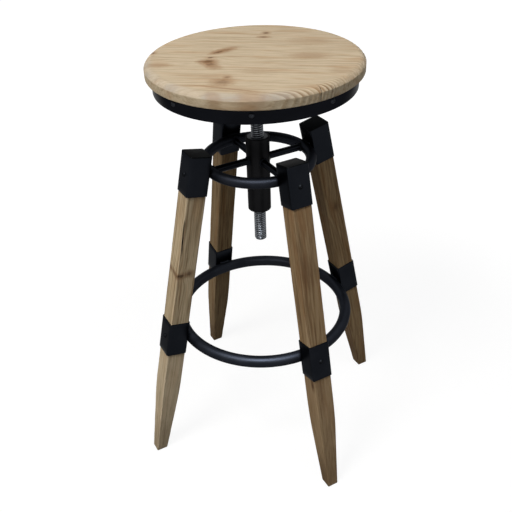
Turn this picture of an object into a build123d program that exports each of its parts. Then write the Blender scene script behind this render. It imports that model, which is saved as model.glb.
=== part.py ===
from build123d import *
import math
import os

# Adjustable bar stool in millimetres, +Z up, origin on the floor under the middle of the seat.
# Four splayed wooden legs stand on the axes. A threaded spindle under the seat turns in a nut
# in the hub, so that turning the seat raises or lowers it.

# Seat board
seat_diameter = 360.0
seat_height = 780.0
board_rim_height = 22.0
board_side_height = 14.0
board_top_round = 14.7
board_under_round = 1.5

# Hoop round the lower part of the board
hoop_diameter = 340.0
hoop_height = 25.0
hoop_wall = 3.0
hoop_edge_round = 0.6
core_clearance = 0.3
hoop_screw_count = 8
hoop_screw_angle = 14.4

# Cross bars inside the hoop
bar_width = 30.0
bar_thickness = 4.0

# Flange that carries the spindle, and its bolts
flange_diameter = 90.0
flange_thickness = 6.0
flange_edge_round = 0.8
bolt_circle = 64.0
bolt_count = 4
bolt_diameter = 6.0
bolt_length = 22.0
bolt_head_width = 10.0
bolt_head_height = 4.0
bolt_hole_clearance = 0.3
insert_diameter = 10.0
insert_length = 15.0

# Threaded spindle
spindle_diameter = 22.0
spindle_length = 302.0
spindle_tip_chamfer = 2.0

# Rubber buffer washer under the flange
washer_diameter = 36.0
washer_thickness = 6.0

# Hub with its nut and guide bush
hub_diameter = 42.0
hub_wall = 3.0
hub_length = 142.0
hub_top_height = 639.0
hub_edge_round = 0.8
nut_length = 40.0
bush_length = 25.0

# Rings and spokes
upper_ring_tube = 19.0
upper_ring_drop = 43.0
foot_ring_tube = 22.0
foot_ring_height = 266.0
ring_wall = 2.0
spoke_diameter = 13.0

# Legs
leg_foot_radius = 254.2
leg_splay = 12.35
leg_clearance = 0.25
leg_corner_round = 2.0
leg_tip_width = 22.0
leg_taper_length = 158.0

# Square steel caps and sleeves on the legs
tube_side = 40.0
tube_wall = 1.5
tube_corner_round = 3.0
cap_rise = 40.0
cap_length = 72.5
lid_thickness = 1.5
sleeve_length = 70.0
sleeve_rise = 12.0

# Round-head wood screws in the hoop, caps and sleeves
screw_head_diameter = 9.0
screw_head_height = 2.8
screw_diameter = 4.5
screw_length = 25.0
screw_point_length = 5.0
screw_hole_clearance = 0.25

# Radial clearance of a piece that is fixed in its hole, and of one that turns in it
seat_fit = 0.05
running_fit = 0.08

# Levels and radii that follow from the sizes above
seat_radius = seat_diameter / 2
board_under = seat_height - board_rim_height
hoop_radius = hoop_diameter / 2
hoop_inner_radius = hoop_radius - hoop_wall
hoop_bottom = board_under - hoop_height
core_radius = hoop_inner_radius - core_clearance
core_bottom = hoop_bottom + bar_thickness
bar_angle = hoop_screw_angle + 180 / hoop_screw_count
flange_top = core_bottom - bar_thickness
flange_bottom = flange_top - flange_thickness
washer_bottom = flange_bottom - washer_thickness
spindle_radius = spindle_diameter / 2
spindle_bottom = flange_top - spindle_length
hub_radius = hub_diameter / 2
hub_bottom = hub_top_height - hub_length
hub_fill_radius = hub_radius - hub_wall - seat_fit
upper_ring_height = hub_top_height - upper_ring_drop
cap_top_height = upper_ring_height + cap_rise
sleeve_middle_height = foot_ring_height + sleeve_rise
screw_radius = screw_diameter / 2
screw_hole_radius = screw_radius + screw_hole_clearance
bolt_hole_radius = bolt_diameter / 2 + bolt_hole_clearance

# Leg frame: local Z runs up along the leg's axis from the floor, local X points outwards
splay = math.radians(leg_splay)
leg_frame = Plane(
    origin=(leg_foot_radius, 0, 0),
    x_dir=(math.cos(splay), 0, math.sin(splay)),
    z_dir=(-math.sin(splay), 0, math.cos(splay)),
).location
leg_sides = {"right": 0, "back": 90, "left": 180, "front": 270}
leg_side = tube_side - 2 * (tube_wall + leg_clearance)
cap_top = cap_top_height / math.cos(splay)
cap_bottom = cap_top - cap_length
lid_bottom = cap_top - lid_thickness
sleeve_bottom = sleeve_middle_height / math.cos(splay) - sleeve_length / 2
screw_levels = {"cap": (cap_bottom + lid_bottom) / 2, "sleeve": sleeve_bottom + sleeve_length / 2}

on_floor = (Align.CENTER, Align.CENTER, Align.MIN)
under_floor = (Align.CENTER, Align.CENTER, Align.MAX)


def disc(radius, low, high):
    """Upright cylinder between two levels."""
    return Pos(0, 0, low) * Cylinder(radius, high - low, align=on_floor)


def pipe(outer_radius, inner_radius, low, high):
    """Upright tube between two levels."""
    return disc(outer_radius, low, high) - disc(inner_radius, low, high)


def around(count, first_angle=0.0):
    """Rotations about the stool's axis, evenly spaced."""
    return [Rot(0, 0, first_angle + 360 * index / count) for index in range(count)]


def group(solids):
    """Several separate solids that share one node."""
    return Compound(children=list(solids))


def ease_rims(shape, outer_radius, rounding):
    """Rounds the outer rims of a turned piece."""
    circles = shape.edges().filter_by(GeomType.CIRCLE)
    return fillet(circles.filter_by(lambda edge: edge.radius > outer_radius - rounding), rounding)


# Fasteners are drawn upright, with the underside of the head at the origin
def wood_screw():
    dome_radius = (screw_head_diameter ** 2 / 4 + screw_head_height ** 2) / (2 * screw_head_height)
    dome = Pos(0, 0, screw_head_height - dome_radius) * Sphere(dome_radius)
    head = dome & disc(screw_head_diameter, 0, screw_head_height)
    shank_end = screw_point_length - screw_length
    shank = disc(screw_radius, shank_end, 0)
    point = Pos(0, 0, -screw_length) * Cone(0, screw_radius, screw_point_length, align=on_floor)
    return head + shank + point


def hex_bolt():
    head = Pos(0, 0, -bolt_head_height) * extrude(
        RegularPolygon(bolt_head_width / 2, 6, major_radius=False), bolt_head_height
    )
    return head + disc(bolt_diameter / 2, 0, bolt_length)


def screw_hole(radius, depth):
    """Hole for a wood screw, drawn like the screw."""
    return disc(radius, -depth, screw_head_height)


# Seat
def hoop_screw_places():
    core_middle = (board_under + core_bottom) / 2
    seat = Pos(hoop_radius, 0, core_middle) * Rot(0, 90, 0)
    return [turn * seat for turn in around(hoop_screw_count, hoop_screw_angle)]


def bolt_places(level):
    return [turn * Pos(bolt_circle / 2, 0, level) for turn in around(bolt_count, bar_angle)]


def seat_board():
    """Turned board. Its round-over leaves the flat top smoothly and meets the side in an edge."""
    arris = (seat_radius, board_under + board_side_height)
    drop = seat_height - arris[1]
    flat_radius = seat_radius - math.sqrt(drop * (2 * board_top_round - drop))
    outline = Polyline(
        (flat_radius, seat_height),
        (0, seat_height),
        (0, core_bottom),
        (core_radius, core_bottom),
        (core_radius, board_under),
        (seat_radius, board_under),
        arris,
    )
    profile = make_face(outline + TangentArc((flat_radius, seat_height), arris, tangent=(1, 0)))
    profile = fillet(profile.vertices().sort_by_distance((seat_radius, board_under))[0], board_under_round)
    board = revolve(Plane.XZ * profile, Axis.Z)
    for place in hoop_screw_places():
        board -= place * screw_hole(screw_radius + seat_fit, screw_length)
    for place in bolt_places(core_bottom):
        board -= place * disc(insert_diameter / 2 + seat_fit, 0, insert_length)
    return board


def hoop():
    band = pipe(hoop_radius, hoop_inner_radius, hoop_bottom, board_under)
    band = ease_rims(band, hoop_radius, hoop_edge_round)
    for place in hoop_screw_places():
        band -= place * screw_hole(screw_hole_radius, 2 * hoop_wall)
    return band


def cross_bars():
    """One bar right across the hoop, and two halves butted against its sides."""
    inside = disc(hoop_inner_radius, flange_top, core_bottom)
    level = Pos(0, 0, flange_top)
    whole = level * Box(hoop_diameter, bar_width, bar_thickness, align=on_floor)
    across = level * Box(bar_width, hoop_diameter, bar_thickness, align=on_floor)
    turn = Rot(0, 0, bar_angle)
    holes = [place * disc(bolt_hole_radius, 0, bar_thickness) for place in bolt_places(flange_top)]
    long_bar = turn * (whole & inside) - holes
    short_bars = turn * (across & inside - whole) - holes
    return long_bar, short_bars


def spindle_flange():
    plate = ease_rims(disc(flange_diameter / 2, flange_bottom, flange_top), flange_diameter / 2, flange_edge_round)
    plate -= disc(spindle_radius + seat_fit, flange_bottom, flange_top)
    for place in bolt_places(flange_bottom):
        plate -= place * disc(bolt_hole_radius, 0, flange_thickness)
    return plate


def threaded_inserts():
    sleeve = pipe(insert_diameter / 2, bolt_diameter / 2 + seat_fit, 0, insert_length)
    return group(place * sleeve for place in bolt_places(core_bottom))


# Spindle at its thread's crest diameter, and the washer round it
def spindle():
    rod = disc(spindle_radius, spindle_bottom, flange_top)
    tip = rod.edges().filter_by(GeomType.CIRCLE).sort_by(Axis.Z)[0]
    return chamfer(tip, spindle_tip_chamfer)


def buffer_washer():
    return pipe(washer_diameter / 2, spindle_radius + running_fit, washer_bottom, flange_bottom)


# Hub, spokes and rings
def hub_tube():
    tube = pipe(hub_radius, hub_radius - hub_wall, hub_bottom, hub_top_height)
    return ease_rims(tube, hub_radius, hub_edge_round)


def hub_lining(low, high):
    """Nut or bush that fills the hub's bore round the spindle."""
    return pipe(hub_fill_radius, spindle_radius + running_fit, low, high)


def ring_radius(level, tube):
    """Radius at which a ring's tube just meets the inner faces of the square tubes on the legs."""
    face_radius = leg_foot_radius - level * math.tan(splay) - tube_side / 2 / math.cos(splay)
    return face_radius - tube / 2 / math.cos(splay)


def ring_bar(level, tube):
    return Pos(0, 0, level) * Torus(ring_radius(level, tube), tube / 2)


def ring(level, tube):
    return ring_bar(level, tube) - Pos(0, 0, level) * Torus(ring_radius(level, tube), tube / 2 - ring_wall)


def spoke():
    """Rod from the hub to the upper ring, hollowed at both ends to fit them."""
    length = ring_radius(upper_ring_height, upper_ring_tube)
    rod = Pos(0, 0, upper_ring_height) * Rot(0, 90, 0) * Cylinder(spoke_diameter / 2, length, align=on_floor)
    rod -= disc(hub_radius, hub_bottom, hub_top_height)
    return rod - ring_bar(upper_ring_height, upper_ring_tube)


# Legs and what is fixed to them, drawn in the leg frame
def leg_section(level, width):
    return Pos(0, 0, level) * RectangleRounded(width, width, leg_corner_round)


def leg_screw_places():
    return {name: Pos(tube_side / 2, 0, level) * Rot(0, 90, 0) for name, level in screw_levels.items()}


def leg():
    overrun = leg_tip_width
    narrowing = (leg_side - leg_tip_width) / leg_taper_length
    tip = leg_section(-overrun, leg_tip_width - narrowing * overrun)
    shoulder = leg_section(leg_taper_length, leg_side)
    post = loft([tip, shoulder], ruled=True) + extrude(shoulder, lid_bottom - leg_taper_length)
    for place in leg_screw_places().values():
        post -= place * screw_hole(screw_radius + seat_fit, screw_length)
    block_side = 4 * overrun
    floor_block = Pos(leg_foot_radius, 0, 0) * Box(block_side, block_side, block_side, align=under_floor)
    return leg_frame * post - floor_block


def square_tube(low, high, screw_name):
    outer = RectangleRounded(tube_side, tube_side, tube_corner_round)
    bore_side = tube_side - 2 * tube_wall
    bore = RectangleRounded(bore_side, bore_side, tube_corner_round - tube_wall)
    tube = Pos(0, 0, low) * extrude(outer - bore, high - low)
    tube -= leg_screw_places()[screw_name] * screw_hole(screw_hole_radius, 2 * tube_wall)
    return leg_frame * tube


def cap_lid():
    plate = extrude(RectangleRounded(tube_side, tube_side, tube_corner_round), lid_thickness)
    plate = fillet(plate.faces().sort_by(Axis.Z)[-1].edges(), lid_thickness / 2)
    return leg_frame * Pos(0, 0, lid_bottom) * plate


def leg_screws(screw_name):
    screw = leg_frame * leg_screw_places()[screw_name] * wood_screw()
    return group(turn * screw for turn in around(len(leg_sides)))


long_bar, short_bars = cross_bars()
nodes = {
    "seat_board": seat_board(),
    "hoop": hoop(),
    "hoop_screws": group(place * wood_screw() for place in hoop_screw_places()),
    "cross_bar_long": long_bar,
    "cross_bars_short": group(short_bars.solids()),
    "spindle_flange": spindle_flange(),
    "flange_bolts": group(place * hex_bolt() for place in bolt_places(flange_bottom)),
    "threaded_inserts": threaded_inserts(),
    "spindle": spindle(),
    "buffer_washer": buffer_washer(),
    "hub_tube": hub_tube(),
    "lift_nut": hub_lining(hub_top_height - nut_length, hub_top_height),
    "guide_bush": hub_lining(hub_bottom, hub_bottom + bush_length),
    "upper_ring": ring(upper_ring_height, upper_ring_tube),
    "foot_ring": ring(foot_ring_height, foot_ring_tube),
    "cap_screws": leg_screws("cap"),
    "sleeve_screws": leg_screws("sleeve"),
}
leg_pieces = {
    "leg": leg(),
    "cap": square_tube(cap_bottom, lid_bottom, "cap"),
    "cap_lid": cap_lid(),
    "sleeve": square_tube(sleeve_bottom, sleeve_bottom + sleeve_length, "sleeve"),
    "spoke": spoke(),
}
for side, angle in leg_sides.items():
    for piece, shape in leg_pieces.items():
        nodes[f"{piece}_{side}"] = Rot(0, 0, angle) * shape

os.makedirs("parts", exist_ok=True)
for name, shape in nodes.items():
    export_step(shape, f"parts/{name}.step")
print(f"{len(nodes)} nodes, upper ring radius {ring_radius(upper_ring_height, upper_ring_tube):.2f},"
      f" foot ring radius {ring_radius(foot_ring_height, foot_ring_tube):.2f}")
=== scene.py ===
import math

import bmesh
import bpy
import numpy as np
from mathutils import Matrix, Vector


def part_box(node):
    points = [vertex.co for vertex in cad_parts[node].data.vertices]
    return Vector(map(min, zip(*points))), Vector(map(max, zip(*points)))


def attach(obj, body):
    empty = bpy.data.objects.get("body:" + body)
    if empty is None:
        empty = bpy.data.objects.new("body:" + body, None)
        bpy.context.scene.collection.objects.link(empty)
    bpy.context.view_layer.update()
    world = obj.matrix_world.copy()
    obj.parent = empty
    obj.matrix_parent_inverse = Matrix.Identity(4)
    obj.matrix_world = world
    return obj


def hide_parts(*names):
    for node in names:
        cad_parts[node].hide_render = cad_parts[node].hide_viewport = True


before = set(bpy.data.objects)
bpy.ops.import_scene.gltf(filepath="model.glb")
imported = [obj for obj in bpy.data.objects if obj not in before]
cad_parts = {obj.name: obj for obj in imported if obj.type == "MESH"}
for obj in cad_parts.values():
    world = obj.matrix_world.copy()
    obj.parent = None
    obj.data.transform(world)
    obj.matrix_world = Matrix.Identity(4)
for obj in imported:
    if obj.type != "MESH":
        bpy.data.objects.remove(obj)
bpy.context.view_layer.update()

# Adjustable bar stool, dressed round its frame. Metres, +Z up, origin on the floor under the seat.
# The legs stand on the axes: right +X, back +Y, left -X, front -Y.

scene = bpy.context.scene
mm = 0.001
mergeGap = 0.002 * mm  # points nearer than this become one
fullTurn = 2 * math.pi
legTurns = {"right": 0, "back": 90, "left": 180, "front": 270}


# Meshes

def addPiece(name, mesh):
    piece = bpy.data.objects.new(name, mesh)
    scene.collection.objects.link(piece)
    return piece


def gridMesh(name, rows, wrap=False, ends=False, sharpAngle=35):
    rows = np.asarray(rows, float)
    count, width = rows.shape[:2]
    faces = []
    for row in range(count if wrap else count - 1):
        here = row * width
        there = (row + 1) % count * width
        for column in range(width):
            following = (column + 1) % width
            faces.append((here + column, here + following, there + following, there + column))
    if ends:
        faces.append(tuple(reversed(range(width))))
        faces.append(tuple(range((count - 1) * width, count * width)))
    mesh = bpy.data.meshes.new(name)
    mesh.from_pydata(rows.reshape(-1, 3).tolist(), [], faces)
    shape = bmesh.new()
    shape.from_mesh(mesh)
    bmesh.ops.remove_doubles(shape, verts=shape.verts, dist=mergeGap)  # closes the poles
    bmesh.ops.recalc_face_normals(shape, faces=shape.faces)
    shape.to_mesh(mesh)
    shape.free()
    mesh.shade_smooth()
    mesh.set_sharp_from_angle(angle=math.radians(sharpAngle))
    return mesh


def arc(centre, radius, start, end, steps):
    angles = np.radians(np.linspace(start, end, steps))
    return [(centre[0] + radius * math.cos(a), centre[1] + radius * math.sin(a)) for a in angles]


def latheRows(profile, angles):
    profile = np.asarray(profile, float)
    radii = profile[:, 0, None]
    heights = np.broadcast_to(profile[:, 1, None], (len(profile), len(angles)))
    return np.stack([radii * np.cos(angles), radii * np.sin(angles), heights], axis=2)


def evenAngles(count):
    return np.linspace(0, fullTurn, count, endpoint=False)


def squareLoop(side, corner, perSide, perCorner):
    # one turn round a rounded square, anticlockwise from the +X side
    half = side / 2 - corner
    loop = []
    for quarter in range(4):
        turn = quarter * math.pi / 2
        edge = [(side / 2, y) for y in np.linspace(-half, half, perSide)]
        bend = arc((half, half), corner, 0, 90, perCorner)[1:-1]
        for x, y in edge + bend:
            loop.append((x * math.cos(turn) - y * math.sin(turn), x * math.sin(turn) + y * math.cos(turn)))
    return np.array(loop)


def readPoints(mesh, what="co"):
    points = np.zeros(len(mesh.vertices) * 3)
    mesh.vertices.foreach_get(what, points)
    return points.reshape(-1, 3)


def movePoints(mesh, points):
    mesh.vertices.foreach_set("co", points.ravel())
    mesh.update()


def storeValue(mesh, name, values):
    mesh.attributes.new(name, "FLOAT", "POINT").data.foreach_set("value", np.asarray(values, np.float32))


def storeVector(mesh, name, vectors):
    flat = np.asarray(vectors, np.float32).ravel()
    mesh.attributes.new(name, "FLOAT_VECTOR", "POINT").data.foreach_set("vector", flat)


def smoothStep(low, high, values):
    share = np.clip((values - low) / (high - low), 0, 1)
    return share * share * (3 - 2 * share)


# Nodes

def feed(tree, socket, value):
    if isinstance(value, bpy.types.NodeSocket):
        tree.links.new(value, socket)
    else:
        socket.default_value = value


def addNode(tree, kind, inputs=None, **settings):
    node = tree.nodes.new(kind)
    for name, value in settings.items():
        setattr(node, name, value)
    for name, value in (inputs or {}).items():
        feed(tree, node.inputs[name], value)
    return node


def calc(tree, operation, *values, clamp=False):
    node = addNode(tree, "ShaderNodeMath", operation=operation, use_clamp=clamp)
    for socket, value in zip(node.inputs, values):
        feed(tree, socket, value)
    return node.outputs[0]


def vectorCalc(tree, operation, *values):
    node = addNode(tree, "ShaderNodeVectorMath", operation=operation)
    for socket, value in zip(node.inputs, values):
        feed(tree, socket, value)
    return node.outputs["Value" if operation == "LENGTH" else "Vector"]


def ramp(tree, value, fromLow, fromHigh, toLow=0.0, toHigh=1.0):
    node = addNode(tree, "ShaderNodeMapRange", interpolation_type="SMOOTHSTEP")
    for socket, given in zip(node.inputs, (value, fromLow, fromHigh, toLow, toHigh)):
        feed(tree, socket, given)
    return node.outputs[0]


def noise(tree, point, stretch, detail=2.0, roughness=0.5):
    scaled = vectorCalc(tree, "MULTIPLY", point, stretch)
    inputs = {"Vector": scaled, "Scale": 1.0, "Detail": detail, "Roughness": roughness}
    return addNode(tree, "ShaderNodeTexNoise", inputs).outputs[0]


def mixColour(tree, factor, first, second, mode="MIX"):
    node = addNode(tree, "ShaderNodeMix", data_type="RGBA", blend_type=mode)
    feed(tree, node.inputs[0], factor)
    feed(tree, node.inputs[6], first)
    feed(tree, node.inputs[7], second)
    return node.outputs[2]


def linear(red, green, blue):
    # a colour as it is seen on a screen, 0 to 255, as light
    shares = [value / 255 for value in (red, green, blue)]
    return tuple(s / 12.92 if s <= 0.04045 else ((s + 0.055) / 1.055) ** 2.4 for s in shares) + (1.0,)


def attribute(tree, name, output="Fac"):
    return addNode(tree, "ShaderNodeAttribute", attribute_name=name).outputs[output]


def sockets(kind, *labels):
    return [(label, kind) for label in labels]


def shaderGroup(name, inputs, outputs):
    tree = bpy.data.node_groups.new(name, "ShaderNodeTree")
    for label, kind in inputs:
        tree.interface.new_socket(label, in_out="INPUT", socket_type="NodeSocket" + kind)
    for label, kind in outputs:
        tree.interface.new_socket(label, in_out="OUTPUT", socket_type="NodeSocket" + kind)
    return tree, tree.nodes.new("NodeGroupInput").outputs, tree.nodes.new("NodeGroupOutput").inputs


def useGroup(tree, group, inputs):
    node = tree.nodes.new("ShaderNodeGroup")
    node.node_tree = group
    for name, value in inputs.items():
        feed(tree, node.inputs[name], value)
    return node.outputs


def newMaterial(name):
    material = bpy.data.materials.new(name)
    material.use_nodes = True
    tree = material.node_tree
    return material, tree, tree.nodes["Principled BSDF"].inputs


def addBump(tree, height, distance, strength):
    node = addNode(tree, "ShaderNodeBump", {"Height": height, "Strength": strength, "Distance": distance})
    return node.outputs[0]


# Shader groups for the finishes

grainScales = {  # marks to a metre: along the grain, across it and in depth
    "wobble": (9, 70, 70), "broad": (8, 58, 58), "narrow": (9, 210, 210), "fibre": (45, 700, 700),
    "knot": (160, 300, 300),
}
grainMix = {
    "wobble": 0.45, "faintRing": 0.25, "warmTurn": (0.48, 0.72), "warmth": 0.7, "streakMiddle": 0.52,
    "streakDark": -2.6, "streakTone": 0.35, "fibreHeight": 0.7, "lateHeight": 0.5,
}
lateRise = (0.2, 0.86)  # the share of a ring over which it darkens
lateFall = (0.9, 1.0)  # the share over which it ends
knotReach = {"uneven": 1.1, "core": (0.35, 1.05), "halo": (0.7, 2.3)}
skinMix = {"patchTurn": (0.3, 0.7), "fleckSize": 0.6, "fleckTurn": (0.66, 0.8)}


def makePineGrain():
    inputs = sockets("Float", "Rings", "Late Amount", "Late Share", "Streak Amount", "Fibre Amount")
    inputs += sockets("Vector", "Point") + sockets("Color", "Early", "Late", "Warm")
    outputs = sockets("Color", "Color") + sockets("Float", "Late Mask", "Fibre", "Height")
    tree, given, made = shaderGroup("pineGrain", inputs, outputs)
    point, mix = given["Point"], grainMix
    wobble = calc(tree, "SUBTRACT", noise(tree, point, grainScales["wobble"]), 0.5)
    rings = calc(tree, "ADD", given["Rings"], calc(tree, "MULTIPLY", wobble, mix["wobble"]))
    share = calc(tree, "FRACT", rings)
    late = calc(tree, "MULTIPLY", ramp(tree, share, *lateRise), ramp(tree, share, *lateFall, 1.0, 0.0))
    number = calc(tree, "FLOOR", rings)
    luck = addNode(tree, "ShaderNodeTexWhiteNoise", {"W": number}, noise_dimensions="1D").outputs["Value"]
    depth = calc(tree, "MULTIPLY", given["Late Amount"], ramp(tree, luck, 0, 1, mix["faintRing"], 1.0))
    depth = calc(tree, "MULTIPLY", depth, given["Late Share"])
    colour = mixColour(tree, calc(tree, "MULTIPLY", late, depth), given["Early"], given["Late"])
    broad = noise(tree, point, grainScales["broad"], 3.0)
    narrow = noise(tree, point, grainScales["narrow"], 3.0, 0.6)
    fibre = noise(tree, point, grainScales["fibre"], 3.0, 0.65)
    warmth = calc(tree, "MULTIPLY", ramp(tree, broad, *mix["warmTurn"]), mix["warmth"])
    colour = mixColour(tree, warmth, colour, given["Warm"])
    streaks = calc(tree, "SUBTRACT", narrow, mix["streakMiddle"])
    streaks = calc(tree, "MULTIPLY", streaks, given["Streak Amount"])
    darker = calc(tree, "MULTIPLY", streaks, mix["streakDark"], clamp=True)
    colour = mixColour(tree, darker, colour, given["Late"])
    grain = calc(tree, "MULTIPLY", calc(tree, "SUBTRACT", fibre, 0.5), given["Fibre Amount"])
    tone = calc(tree, "ADD", calc(tree, "MULTIPLY_ADD", streaks, mix["streakTone"], 1.0), grain)
    height = calc(tree, "MULTIPLY", late, mix["lateHeight"])
    feed(tree, made["Color"], vectorCalc(tree, "MULTIPLY", colour, tone))
    feed(tree, made["Late Mask"], late)
    feed(tree, made["Fibre"], fibre)
    feed(tree, made["Height"], calc(tree, "MULTIPLY_ADD", fibre, mix["fibreHeight"], height))
    return tree


def makePineKnot():
    inputs = sockets("Vector", "Point", "Place", "Half Size") + sockets("Float", "Turn")
    tree, given, made = shaderGroup("pineKnot", inputs, sockets("Float", "Core", "Halo"))
    offset = vectorCalc(tree, "SUBTRACT", given["Point"], given["Place"])
    turned = addNode(tree, "ShaderNodeVectorRotate", {"Vector": offset}, rotation_type="Z_AXIS")
    feed(tree, turned.inputs["Angle"], calc(tree, "MULTIPLY", given["Turn"], -1.0))
    share = vectorCalc(tree, "DIVIDE", turned.outputs[0], given["Half Size"])
    uneven = calc(tree, "SUBTRACT", noise(tree, given["Point"], grainScales["knot"], 3.0), 0.5)
    reach = calc(tree, "MULTIPLY_ADD", uneven, knotReach["uneven"], vectorCalc(tree, "LENGTH", share))
    feed(tree, made["Core"], ramp(tree, reach, *knotReach["core"], 1.0, 0.0))
    feed(tree, made["Halo"], ramp(tree, reach, *knotReach["halo"], 1.0, 0.0))
    return tree


def makeCoatSkin():
    inputs = sockets("Vector", "Point") + sockets("Float", "Peel Size", "Patch Size")
    tree, given, made = shaderGroup("coatSkin", inputs, sockets("Float", "Peel", "Patch", "Fleck"))

    def speckle(size, detail):
        speckled = {"Vector": given["Point"], "Detail": detail, "Scale": calc(tree, "DIVIDE", 1.0, size)}
        return addNode(tree, "ShaderNodeTexNoise", speckled).outputs[0]

    fleckSize = calc(tree, "MULTIPLY", given["Peel Size"], skinMix["fleckSize"])
    feed(tree, made["Peel"], speckle(given["Peel Size"], 1.0))
    feed(tree, made["Patch"], ramp(tree, speckle(given["Patch Size"], 3.0), *skinMix["patchTurn"]))
    feed(tree, made["Fleck"], ramp(tree, speckle(fleckSize, 0.0), *skinMix["fleckTurn"]))
    return tree


pineGrain = makePineGrain()
pineKnot = makePineKnot()
coatSkin = makeCoatSkin()
print("shader groups made")


# Materials

woodSkin = {"fibrePatchTurn": (0.3, 0.6, 0.55, 1.0), "fibreRough": 0.2, "lateRough": -0.08, "bumpStrength": 0.7}


def pineMaterial(name, look, knots):
    material, tree, shader = newMaterial(name)
    point = attribute(tree, "grainPoint", "Vector")
    grain = useGroup(tree, pineGrain, {
        "Rings": attribute(tree, "ringField"), "Point": point, "Late Share": attribute(tree, "lateShare"),
        "Early": look["early"], "Late": look["late"], "Warm": look["warm"],
        "Late Amount": look["lateAmount"], "Streak Amount": look["streakAmount"],
        "Fibre Amount": look["fibreAmount"],
    })
    # the rubbed tone is partly wear; on the seat's round-over it is partly painted sheen
    fibrePatches = ramp(tree, grain["Fibre"], *woodSkin["fibrePatchTurn"])
    rubbedAndSheen = calc(tree, "MULTIPLY", attribute(tree, "edgeWear"), fibrePatches)
    colour = mixColour(tree, rubbedAndSheen, grain["Color"], look["wornAndSheen"])
    for knot in knots:
        marks = useGroup(tree, pineKnot, {
            "Point": point, "Place": knot["place"], "Half Size": knot["half"],
            "Turn": math.radians(knot.get("turn", 0)),
        })
        halo = calc(tree, "MULTIPLY", marks["Halo"], knot["halo"])
        core = calc(tree, "MULTIPLY", marks["Core"], knot["core"])
        colour = mixColour(tree, halo, colour, look["knotHalo"])
        colour = mixColour(tree, core, colour, look["knotCore"])
    # the mask multiplies in this colour: on the seat it is painted shade on the upright side; on the legs
    # it darkens towards the foot and paints shade on one face
    colour = mixColour(tree, attribute(tree, "sideStain"), colour, look["stainAndShadeColour"], "MULTIPLY")
    colour = mixColour(tree, attribute(tree, "checkDepth"), colour, look["check"])
    feed(tree, shader["Base Color"], colour)
    rough = calc(tree, "MULTIPLY_ADD", grain["Fibre"], woodSkin["fibreRough"], look["roughness"])
    rough = calc(tree, "MULTIPLY_ADD", grain["Late Mask"], woodSkin["lateRough"], rough)
    feed(tree, shader["Roughness"], rough)
    shader["Specular IOR Level"].default_value = look["specular"]
    feed(tree, shader["Normal"], addBump(tree, grain["Height"], look["bump"], woodSkin["bumpStrength"]))
    return material


coatSheen = {"edgeTint": (0.5, 0.5, 0.5, 1.0), "bumpStrength": 0.6}


def coatMaterial(name, look):
    material, tree, shader = newMaterial(name)
    point = addNode(tree, "ShaderNodeTexCoord").outputs["Object"]
    sizes = {"Peel Size": look["peelSize"], "Patch Size": look["patchSize"]}
    skin = useGroup(tree, coatSkin, {"Point": point} | sizes)
    colour = mixColour(tree, skin["Patch"], linear(*look["dark"]), linear(*look["light"]))
    flecks = calc(tree, "MULTIPLY", skin["Fleck"], look["fleckAmount"])
    feed(tree, shader["Base Color"], mixColour(tree, flecks, colour, linear(*look["fleck"])))
    feed(tree, shader["Roughness"], ramp(tree, skin["Patch"], 0, 1, look["smooth"], look["rough"]))
    shader["Metallic"].default_value = look["metallic"]
    shader["Specular IOR Level"].default_value = look["specular"]
    shader["Specular Tint"].default_value = coatSheen["edgeTint"]
    feed(tree, shader["Normal"], addBump(tree, skin["Peel"], look["bump"], coatSheen["bumpStrength"]))
    return material


def coatLook(dark, light, fleck, smooth, rough, **changes):
    lacquer = {  # black lacquer on steel, where nothing else is said
        "fleckAmount": 0.35, "specular": 0.0, "metallic": 1.0, "peelSize": 1.6 * mm, "patchSize": 45 * mm,
        "bump": 0.05 * mm,
    }
    tones = {"dark": dark, "light": light, "fleck": fleck, "smooth": smooth, "rough": rough}
    return tones | lacquer | changes


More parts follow.
